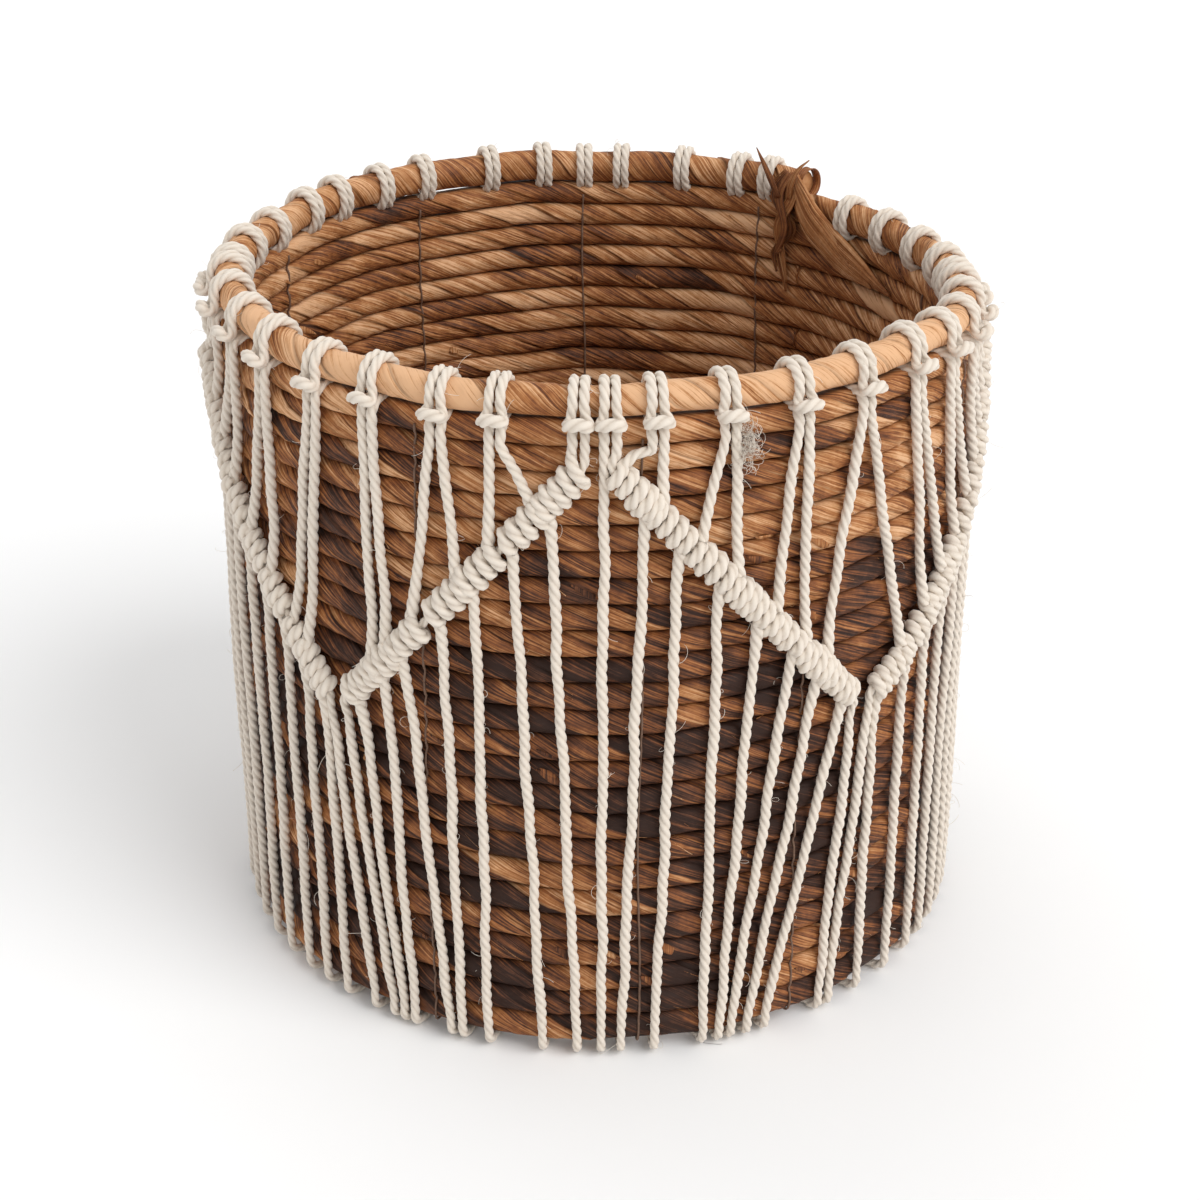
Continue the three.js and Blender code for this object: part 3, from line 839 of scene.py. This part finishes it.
def loose_fibres(line, count, reach, rng, lengths, thick):
    parts = []
    for _ in range(count):
        at = line[rng.integers(8, len(line) - 8)]
        out = outward(angle_of(at))
        lean = out * rng.uniform(0.15, 0.8) + rng.normal(0, 0.8, 3)
        start = at + lean / np.linalg.norm(lean) * reach
        run = fibre(start, lean, rng.uniform(*lengths), rng.uniform(0.1, 0.95), rng)
        parts.append(tube(run, thick * rng.uniform(0.7, 1.2), 3))
    return parts


def cotton_cord(number, row, material):
    rng = np.random.default_rng(500 + number)
    knot_angle, left_band, left_bottom, right_band, right_bottom = row
    left, bar = strand(knot_angle, -1, left_band, left_bottom, rng)
    right, _ = strand(knot_angle, 1, right_band, right_bottom, rng)
    stops, run = smooth_run([*left, bar, *right[::-1]], 1.25)
    line, girth = stops[:, :3], stops[:, 3]
    section, crown = ply_section()
    sides = len(section)
    uneven = 1 + 0.035 * np.sin(run / 17 + number) + 0.025 * np.sin(run / 5.3 + 2 * number)
    thick = CORD / 2 * girth * uneven
    turns = -2 * np.pi * run / PLY_LAY + rng.uniform(*ANY_PHASE) + 0.35 * np.sin(run / 23 + number)
    body = tube(line, thick, sides, section, turns)
    fibres = loose_fibres(line, 20, CORD * 0.42, rng, (3, 11), 0.085)
    fibres += loose_fibres(line, 40, CORD * 0.45, rng, (1.2, 4), 0.06)
    if number == FRAYED_CORD:
        fibres += frayed_tuft(rng)
    coords, faces = join_parts([body, *fibres])
    coords[:, 2] = np.maximum(coords[:, 2], LOWEST_CORD)
    # Painted light across the cord: 1 on each ply's crown, 0 in the shaded valley between plies. The loose
    # fibres are painted fully lit. It goes into the red of the ply tint.
    on_cord = slice(0, len(line) * sides)
    painted_ply_light = np.ones(len(coords))
    painted_ply_light[on_cord] = np.tile(crown, len(line))
    lay = np.zeros((len(coords), 2))
    lay[on_cord, 0] = np.repeat(run, sides)
    lay[on_cord, 1] = np.tile(np.arange(sides), len(line)) * (2 * CORD / sides)
    piece = new_mesh(f"cotton_cord_{number:02d}", coords, faces, material)
    add_uv(piece, "lay", lay[faces.ravel()])
    add_tint(piece, "ply_light_and_tone", painted_ply_light, rng.uniform(0, 1))
    hand_over(piece, "cotton_cord", f"cord_{number:02d}")


def frayed_tuft(rng):
    """The frayed spot beside one knot, a bush of curled fibres."""
    middle = on_wall(19.4, 263, 3.4)
    parts = []
    for _ in range(170):
        start = middle + rng.normal(0, 1, 3) * (1.9, 1.2, 4.6)
        lean = outward(22) * rng.uniform(0.1, 0.9) + rng.normal(0, 0.8, 3) + np.array([0.6, 0, 0.1])
        run = fibre(start, lean, rng.uniform(4, 12), rng.uniform(0.3, 1.6), rng)
        parts.append(tube(run, 0.08, 3))
    return parts


# ---------- binding threads ----------
def thread_run(angle):
    """A running stitch over the courses: down the outside, under the wall and up the inside."""
    top = WALL_TOP - (RIM_HEIGHT - float(rim_height(angle))) - 4

    def course_dip(height):
        nearest = np.min(np.abs(BOTTOMS + (rim_height(angle) - RIM_HEIGHT) * 0.5 - height))
        return -1.3 * math.exp(-(nearest / 1.6) ** 2)

    heights = np.arange(top, WALL_BOTTOM + 4, -1.5)
    outside = [on_wall(angle + 0.25 * math.sin(h / 21), h, 0.25 + course_dip(h)) for h in heights]
    under = [place(angle, WALL_OUTER_BOTTOM - 1, 5.6), place(angle, 151, 4.6), place(angle, 146.5, 5.6)]
    inside = []
    for h in heights[::-1]:
        radius = wall_outer(h) - 2 * ROPE_HALF_WIDTH + bulge(angle, h) - 0.3 - course_dip(h)
        inside.append(place(angle + 0.25 * math.sin(h / 17), radius, h))
    return [*outside, *under, *inside]


def binding_threads(material):
    for index, angle in enumerate(THREAD_ANGLES):
        line, run = smooth_run(thread_run(angle), 1.5)
        coords, faces = tube(line, 0.5 + 0.05 * np.sin(run), 6)
        piece = new_mesh(f"stitched_thread_{index + 1:02d}", coords, faces, material)
        hand_over(piece, "binding_thread", f"binding_thread_{index + 1:02d}")


# ---------- the rope's leafy end ----------
def leaf_blade(stops, widths, thick, folds, rng, across_of):
    """A flat dry leaf with folded ribs: a closed thin strip carried along stops."""
    line, run = smooth_run(stops, 1.6)
    share = run / run[-1]
    half = np.interp(share, np.linspace(0, 1, len(widths)), widths) / 2
    tangent = np.gradient(line, axis=0)
    tangent /= np.linalg.norm(tangent, axis=1)[:, None]
    across = np.array([across_of(p) for p in line])
    across -= tangent * np.sum(across * tangent, axis=1)[:, None]
    across /= np.linalg.norm(across, axis=1)[:, None]
    normal = np.cross(tangent, across)
    columns = 4 * folds + 1
    lie = np.linspace(-1, 1, columns)
    rib = np.cos(np.linspace(0, folds * 2 * np.pi, columns) + rng.uniform(0, 6)) * 0.35
    rib = rib + rng.normal(0, 0.1, columns)
    crown = 0.9 * (1 - lie ** 2)
    waver = 0.3 * np.sin(run / 9 + rng.uniform(0, 6))
    fold = rib[None, :] * np.clip(half[:, None] / 3, 0.15, 1)
    lift = fold + crown[None, :] * half[:, None] * 0.22 + waver[:, None]
    top = line[:, None, :] + across[:, None, :] * (lie[None, :] * half[:, None])[..., None]
    front = top + normal[:, None, :] * (lift + thick / 2)[..., None]
    back = top + normal[:, None, :] * (lift - thick / 2)[..., None]
    rings = np.concatenate([front, back[:, ::-1]], axis=1)
    count, sides = rings.shape[:2]
    grid = np.arange(count * sides).reshape(count, sides)
    nxt = np.roll(grid, -1, axis=1)
    quads = np.stack([grid[:-1], grid[1:], nxt[1:], nxt[:-1]], -1).reshape(-1, 4)
    faces = [quads[:, [0, 1, 2]], quads[:, [0, 2, 3]]]
    for ring, way in ((grid[0], 1), (grid[-1], -1)):
        near, far = ring[:columns], ring[::-1][:columns]
        pairs = np.stack([near[:-1], near[1:], far[1:], far[:-1]], -1)[:, ::way]
        faces += [pairs[:, [0, 1, 2]], pairs[:, [0, 2, 3]]]
    uv = np.stack([np.broadcast_to((lie * 9)[None, :], (count, columns)),
                   np.broadcast_to(run[:, None], (count, columns))], -1)
    uv = np.concatenate([uv, uv[:, ::-1]], axis=1).reshape(-1, 2)
    return rings.reshape(-1, 3), np.concatenate(faces), uv


def leafy_piece(name, node, blades, tone, material):
    coords, faces = join_parts([(p, f) for p, f, _ in blades])
    uv = np.concatenate([u for _, _, u in blades])
    piece = new_mesh(name, coords, faces, material)
    add_uv(piece, "veins", uv[faces.ravel()])
    shifts = np.resize([0, 0.14, -0.1, 0.08], len(blades))
    tones = [np.full(len(points), tone + shift) for (points, _, _), shift in zip(blades, shifts)]
    add_tint(piece, "leaf_tone_and_shade", np.concatenate(tones), 0)
    hand_over(piece, "leaf_end", node)


def inside_at(angle, depth, height):
    """A place off the inner face of the wall, depth towards the middle."""
    return place(angle, wall_outer(height) - 2 * ROPE_HALF_WIDTH + bulge(angle, height) - depth, height)


def upward(_):
    return np.array([0.0, 0.0, 1.0])


def sideways(point):
    return np.cross([0, 0, 1.0], outward(angle_of(point)))


def rim_end(material):
    rng = np.random.default_rng(61)
    blades = []
    for shift, depth, reach in ((0, 2.6, 0), (3.2, 3.4, -2.5), (-3.4, 2.2, 2.2), (1.5, 4.2, 1.2)):
        stops = [
            inside_at(141.5, depth - 5, 284 + shift * 0.4),
            inside_at(139.4, depth - 1.5, 278 + shift),
            inside_at(136.4, depth, 269 + shift),
            inside_at(131.8, depth, 260.5 + shift * 0.8),
            inside_at(125.4 + reach, depth - 0.6, 252.5 + shift * 0.5),
            inside_at(118 + 1.4 * reach, depth - 1.6, 246.5 + shift * 0.15),
        ]
        blades.append(leaf_blade(stops, [8, 11, 12.5, 10.5, 6.5, 1], 0.5, 3, rng, upward))
    leafy_piece("rim_rope_leaf_tail", "rim_tail", blades, 0.2, material)


def splice_leaves(material):
    rng = np.random.default_rng(62)
    blades = []
    for lean, depth, foot, wide in ((0, 1.8, 231, 5), (2.2, 2.6, 240, 4), (-1.6, 3.2, 236, 4.4),
                                    (1.2, 3.9, 252, 3.6), (3.3, 1.4, 246, 3.4)):
        stops = [
            inside_at(141.6 + lean * 0.5, depth - 3.5, 287),
            inside_at(142.2 + lean, depth, 277),
            inside_at(142.6 - lean * 0.6, depth + 0.6, 262),
            inside_at(143.4 + lean * 0.5, depth, 249),
            inside_at(142.8 + rng.normal(0, 0.8), depth - 0.5, foot),
        ]
        blades.append(leaf_blade(stops, [wide, wide * 1.2, wide, wide * 0.8, 0.9], 0.45, 2, rng, sideways))
    for foot, sweep, tip, width in ((143.6, 6, 296, 2.8), (141.5, -3.2, 294.5, 3)):
        stops = [
            place(foot, RIM_RADIUS - 9.5, 276),
            place(foot + 0.25 * sweep, RIM_RADIUS - 10.6, 284),
            place(foot + 0.6 * sweep, RIM_RADIUS - 9, 290.5),
            place(foot + sweep, RIM_RADIUS - 5, tip),
        ]
        blades.append(leaf_blade(stops, [width, width * 1.1, width * 0.7, 0.4], 0.4, 2, rng, sideways))
    reach = RIM_ROPE_RADIUS + 0.9
    wrap = []
    for turn in range(0, 420, 30):
        lean = math.radians(turn + 200)
        radius = RIM_RADIUS + reach * math.cos(lean)
        wrap.append(place(139.4 + turn * 0.002, radius, RIM_HEIGHT + reach * math.sin(lean)))
    blades.append(leaf_blade(wrap, [3.5, 4.5, 4, 3], 0.5, 2, rng, sideways))
    leafy_piece("splice_leaf_bunch", "splice_bunch", blades, 0.44, material)


# ---------- materials ----------
class Nodes:
    """Short calls for a material's or group's node tree."""

    def __init__(self, tree):
        self.tree = tree

    def add(self, kind, inputs=None, **settings):
        node = self.tree.nodes.new(kind)
        for key, value in settings.items():
            setattr(node, key, value)
        for key, value in (inputs or {}).items():
            if isinstance(value, bpy.types.NodeSocket):
                self.tree.links.new(value, node.inputs[key])
            else:
                node.inputs[key].default_value = value
        return node

    def maths(self, operation, *values, clamp=False):
        node = self.add("ShaderNodeMath", dict(enumerate(values)), operation=operation, use_clamp=clamp)
        return node.outputs[0]

    def noise(self, vector, scale, detail=3.0, rough=0.55):
        node = self.add("ShaderNodeTexNoise",
                        {"Vector": vector, "Scale": scale, "Detail": detail, "Roughness": rough})
        return node.outputs["Fac"]

    def mix(self, share, a, b):
        node = self.add("ShaderNodeMix", data_type="RGBA")
        for index, value in ((0, share), (6, a), (7, b)):
            if isinstance(value, bpy.types.NodeSocket):
                self.tree.links.new(value, node.inputs[index])
            else:
                node.inputs[index].default_value = value
        return node.outputs[2]

    def bump(self, height, strength, distance, shader):
        lifted = self.add("ShaderNodeBump", {"Height": height, "Strength": strength, "Distance": distance})
        self.tree.links.new(lifted.outputs[0], shader.inputs["Normal"])


def new_material(name):
    material = bpy.data.materials.new(name)
    material.use_nodes = True
    nodes = Nodes(material.node_tree)
    return material, nodes, nodes.tree.nodes["Principled BSDF"]


def new_group(name, inputs, outputs):
    tree = bpy.data.node_groups.new(name, "ShaderNodeTree")
    for label, kind, value in inputs:
        socket = tree.interface.new_socket(label, in_out="INPUT", socket_type=kind)
        if value is not None:
            socket.default_value = value
    for label, kind in outputs:
        tree.interface.new_socket(label, in_out="OUTPUT", socket_type=kind)
    nodes = Nodes(tree)
    return tree, nodes, nodes.add("NodeGroupInput").outputs, nodes.add("NodeGroupOutput").inputs


def dry_leaf_group():
    """Colour, roughness and relief of dry twisted leaf, from its vein map, its tone and its painted shade."""
    tree, n, given, result = new_group(
        "dry_leaf",
        [("Veins", "NodeSocketVector", None), ("Place", "NodeSocketVector", None),
         ("Tone", "NodeSocketFloat", 0.4), ("Painted Shade", "NodeSocketFloat", 0.0),
         ("Vein Depth", "NodeSocketFloat", 1.0)],
        [("Color", "NodeSocketColor"), ("Roughness", "NodeSocketFloat"), ("Height", "NodeSocketFloat")])
    along = n.add("ShaderNodeMapping", {"Vector": given["Veins"], "Scale": (1350, 32, 1)}).outputs[0]
    broad = n.add("ShaderNodeMapping", {"Vector": given["Veins"], "Scale": (420, 15, 1)}).outputs[0]
    fine_veins = n.noise(along, 1.0, 3.0, 0.7)
    broad_veins = n.noise(broad, 1.0, 3.0)
    blotch = n.noise(given["Place"], 55.0, 4.0, 0.6)
    fleck = n.noise(given["Place"], 420.0, 3.0, 0.6)
    veins = n.maths("ADD", n.maths("MULTIPLY", fine_veins, 0.65), n.maths("MULTIPLY", broad_veins, 0.35))
    contrast = n.maths("MULTIPLY", given["Vein Depth"], -3.1)
    streak = n.maths("MULTIPLY", n.maths("SUBTRACT", veins, 0.53), contrast)
    patch = n.maths("MULTIPLY", n.maths("SUBTRACT", blotch, 0.5), 0.5)
    speck = n.maths("MULTIPLY", n.maths("SUBTRACT", fleck, 0.5), 0.3)
    tone = n.maths("ADD", n.maths("ADD", given["Tone"], streak), n.maths("ADD", patch, speck), clamp=True)
    ramp = n.add("ShaderNodeValToRGB", {"Fac": tone})
    stops = ramp.color_ramp.elements
    shades = [
        (0.0, (0.74, 0.44, 0.245, 1)),
        (0.2, (0.55, 0.28, 0.125, 1)),
        (0.4, (0.39, 0.155, 0.05, 1)),
        (0.58, (0.24, 0.082, 0.028, 1)),
        (0.78, (0.105, 0.04, 0.02, 1)),
        (1.0, (0.03, 0.012, 0.007, 1)),
    ]
    stops[0].position, stops[0].color = shades[0]
    stops[1].position, stops[1].color = shades[-1]
    for position, shade in shades[1:-1]:
        stops.new(position).color = shade
    # Painted shade: the crease input darkens the leaf to near black in the grooves and the leaf cracks.
    dark = n.mix(given["Painted Shade"], ramp.outputs["Color"], (0.012, 0.006, 0.004, 1))
    n.tree.links.new(dark, result["Color"])
    rough = n.maths("ADD", 0.42, n.maths("MULTIPLY", blotch, 0.36))
    n.tree.links.new(rough, result["Roughness"])
    relief = n.maths("ADD", n.maths("MULTIPLY", veins, given["Vein Depth"]), n.maths("MULTIPLY", fleck, 0.25))
    n.tree.links.new(relief, result["Height"])
    return tree


def leaf_material(name, group, vein_depth, bump):
    material, n, shader = new_material(name)
    veins = n.add("ShaderNodeUVMap", uv_map="veins").outputs[0]
    where = n.add("ShaderNodeTexCoord").outputs["Object"]
    tint = n.add("ShaderNodeAttribute", attribute_name="leaf_tone_and_shade").outputs["Color"]
    split = n.add("ShaderNodeSeparateColor", {"Color": tint})
    leaf = n.add("ShaderNodeGroup", node_tree=group)
    # The red of the tint is the leaf's tone. The green is painted shade for the grooves and the leaf cracks.
    tone, painted_shade = split.outputs[:2]
    for key, value in (("Veins", veins), ("Place", where), ("Tone", tone), ("Painted Shade", painted_shade)):
        n.tree.links.new(value, leaf.inputs[key])
    leaf.inputs["Vein Depth"].default_value = vein_depth
    n.tree.links.new(leaf.outputs["Color"], shader.inputs["Base Color"])
    n.tree.links.new(leaf.outputs["Roughness"], shader.inputs["Roughness"])
    n.bump(leaf.outputs["Height"], bump, 0.0007, shader)
    shader.inputs["Specular IOR Level"].default_value = 0.24
    return material


def cotton_material():
    """Natural cotton: painted light on the ply crowns and painted shade between the plies, with fine fibres
    along each ply.
    """
    material, n, shader = new_material("natural_cotton")
    where = n.add("ShaderNodeTexCoord").outputs["Object"]
    tint = n.add("ShaderNodeAttribute", attribute_name="ply_light_and_tone").outputs["Color"]
    split = n.add("ShaderNodeSeparateColor", {"Color": tint})
    lay = n.add("ShaderNodeUVMap", uv_map="lay").outputs[0]
    grain = n.add("ShaderNodeMapping", {"Vector": lay, "Scale": (500, 2400, 1)}).outputs[0]
    grain = n.noise(grain, 1.0, 3.0, 0.6)
    fuzz = n.noise(where, 1300.0, 4.0, 0.65)
    cloud = n.noise(where, 90.0, 3.0)
    # Painted shade between the plies, growing lighter to painted light on their crowns.
    crown = n.maths("POWER", split.outputs[0], 0.6)
    lit = n.mix(crown, (0.62, 0.53, 0.44, 1), (0.85, 0.78, 0.69, 1))
    warm = n.mix(n.maths("MULTIPLY", cloud, 0.35), lit, (0.76, 0.65, 0.53, 1))
    own = n.mix(n.maths("MULTIPLY", split.outputs[1], 0.18), warm, (0.76, 0.68, 0.58, 1))
    color = n.mix(n.maths("MULTIPLY", fuzz, 0.25), own, (0.58, 0.49, 0.4, 1))
    n.tree.links.new(color, shader.inputs["Base Color"])
    shader.inputs["Roughness"].default_value = 0.92
    shader.inputs["Sheen Weight"].default_value = 0.25
    shader.inputs["Sheen Roughness"].default_value = 0.5
    shader.inputs["Specular IOR Level"].default_value = 0.2
    relief = n.maths("ADD", n.maths("MULTIPLY", grain, 0.6), fuzz)
    n.bump(relief, 0.55, 0.0004, shader)
    return material


def thread_material():
    material, n, shader = new_material("dark_sewing_thread")
    where = n.add("ShaderNodeTexCoord").outputs["Object"]
    twist = n.noise(where, 900.0, 3.0)
    color = n.mix(twist, (0.07, 0.035, 0.022, 1), (0.24, 0.14, 0.09, 1))
    n.tree.links.new(color, shader.inputs["Base Color"])
    shader.inputs["Roughness"].default_value = 0.7
    n.bump(twist, 0.5, 0.0003, shader)
    return material


# ---------- stage ----------
def studio():
    bpy.ops.mesh.primitive_plane_add(size=12, location=(0, 0, 0))
    floor = bpy.context.object
    floor.name = "studio_floor"
    material, _, shader = new_material("pale_floor")
    shader.inputs["Base Color"].default_value = (0.93, 0.93, 0.93, 1)
    shader.inputs["Roughness"].default_value = 0.9
    shader.inputs["Specular IOR Level"].default_value = 0.1
    floor.data.materials.append(material)
    world = bpy.data.worlds.new("studio_white")
    world.use_nodes = True
    world.node_tree.nodes["Background"].inputs["Color"].default_value = (1, 1, 1, 1)
    world.node_tree.nodes["Background"].inputs["Strength"].default_value = 0.74
    bpy.context.scene.world = world
    lamps = [("key_softbox", (1.0, -0.75, 1.15), 1.65, 42), ("back_softbox", (-0.35, 0.8, 1.0), 0.4, 50)]
    for name, spot, power, spread in lamps:
        light = bpy.data.lights.new(name, "SUN")
        light.energy = power
        light.angle = math.radians(spread)
        lamp = bpy.data.objects.new(name, light)
        lamp.location = spot
        lamp.rotation_euler = Vector(spot).to_track_quat("Z", "Y").to_euler()
        bpy.context.scene.collection.objects.link(lamp)


CAMERA_PLACE = (0.0004, -0.8684, 0.5658)
CAMERA_LOOK = (0.0007, 0.8923, -0.4515)


def camera():
    lens = bpy.data.cameras.new("studio_camera")
    lens.lens = 65.96
    lens.sensor_width = 36
    lens.clip_start, lens.clip_end = 0.05, 30
    eye = bpy.data.objects.new("studio_camera", lens)
    eye.location = CAMERA_PLACE
    eye.rotation_euler = Vector(CAMERA_LOOK).to_track_quat("-Z", "Y").to_euler()
    bpy.context.scene.collection.objects.link(eye)
    bpy.context.scene.camera = eye
    bpy.context.scene.view_settings.view_transform = "Standard"


# ---------- making ----------
camera()
studio()
leaf_group = dry_leaf_group()
rope_leaf = leaf_material("twisted_dry_leaf", leaf_group, 1.0, 0.75)
loose_leaf = leaf_material("loose_dry_leaf", leaf_group, 0.8, 0.8)
cotton = cotton_material()
thread = thread_material()

wall_ropes(rope_leaf)
rim(rope_leaf)
base(rope_leaf)
for number, row in enumerate(CORDS, start=1):
    cotton_cord(number, row, cotton)
binding_threads(thread)
straw(loose_leaf)
rim_end(loose_leaf)
splice_leaves(loose_leaf)

bpy.context.view_layer.update()
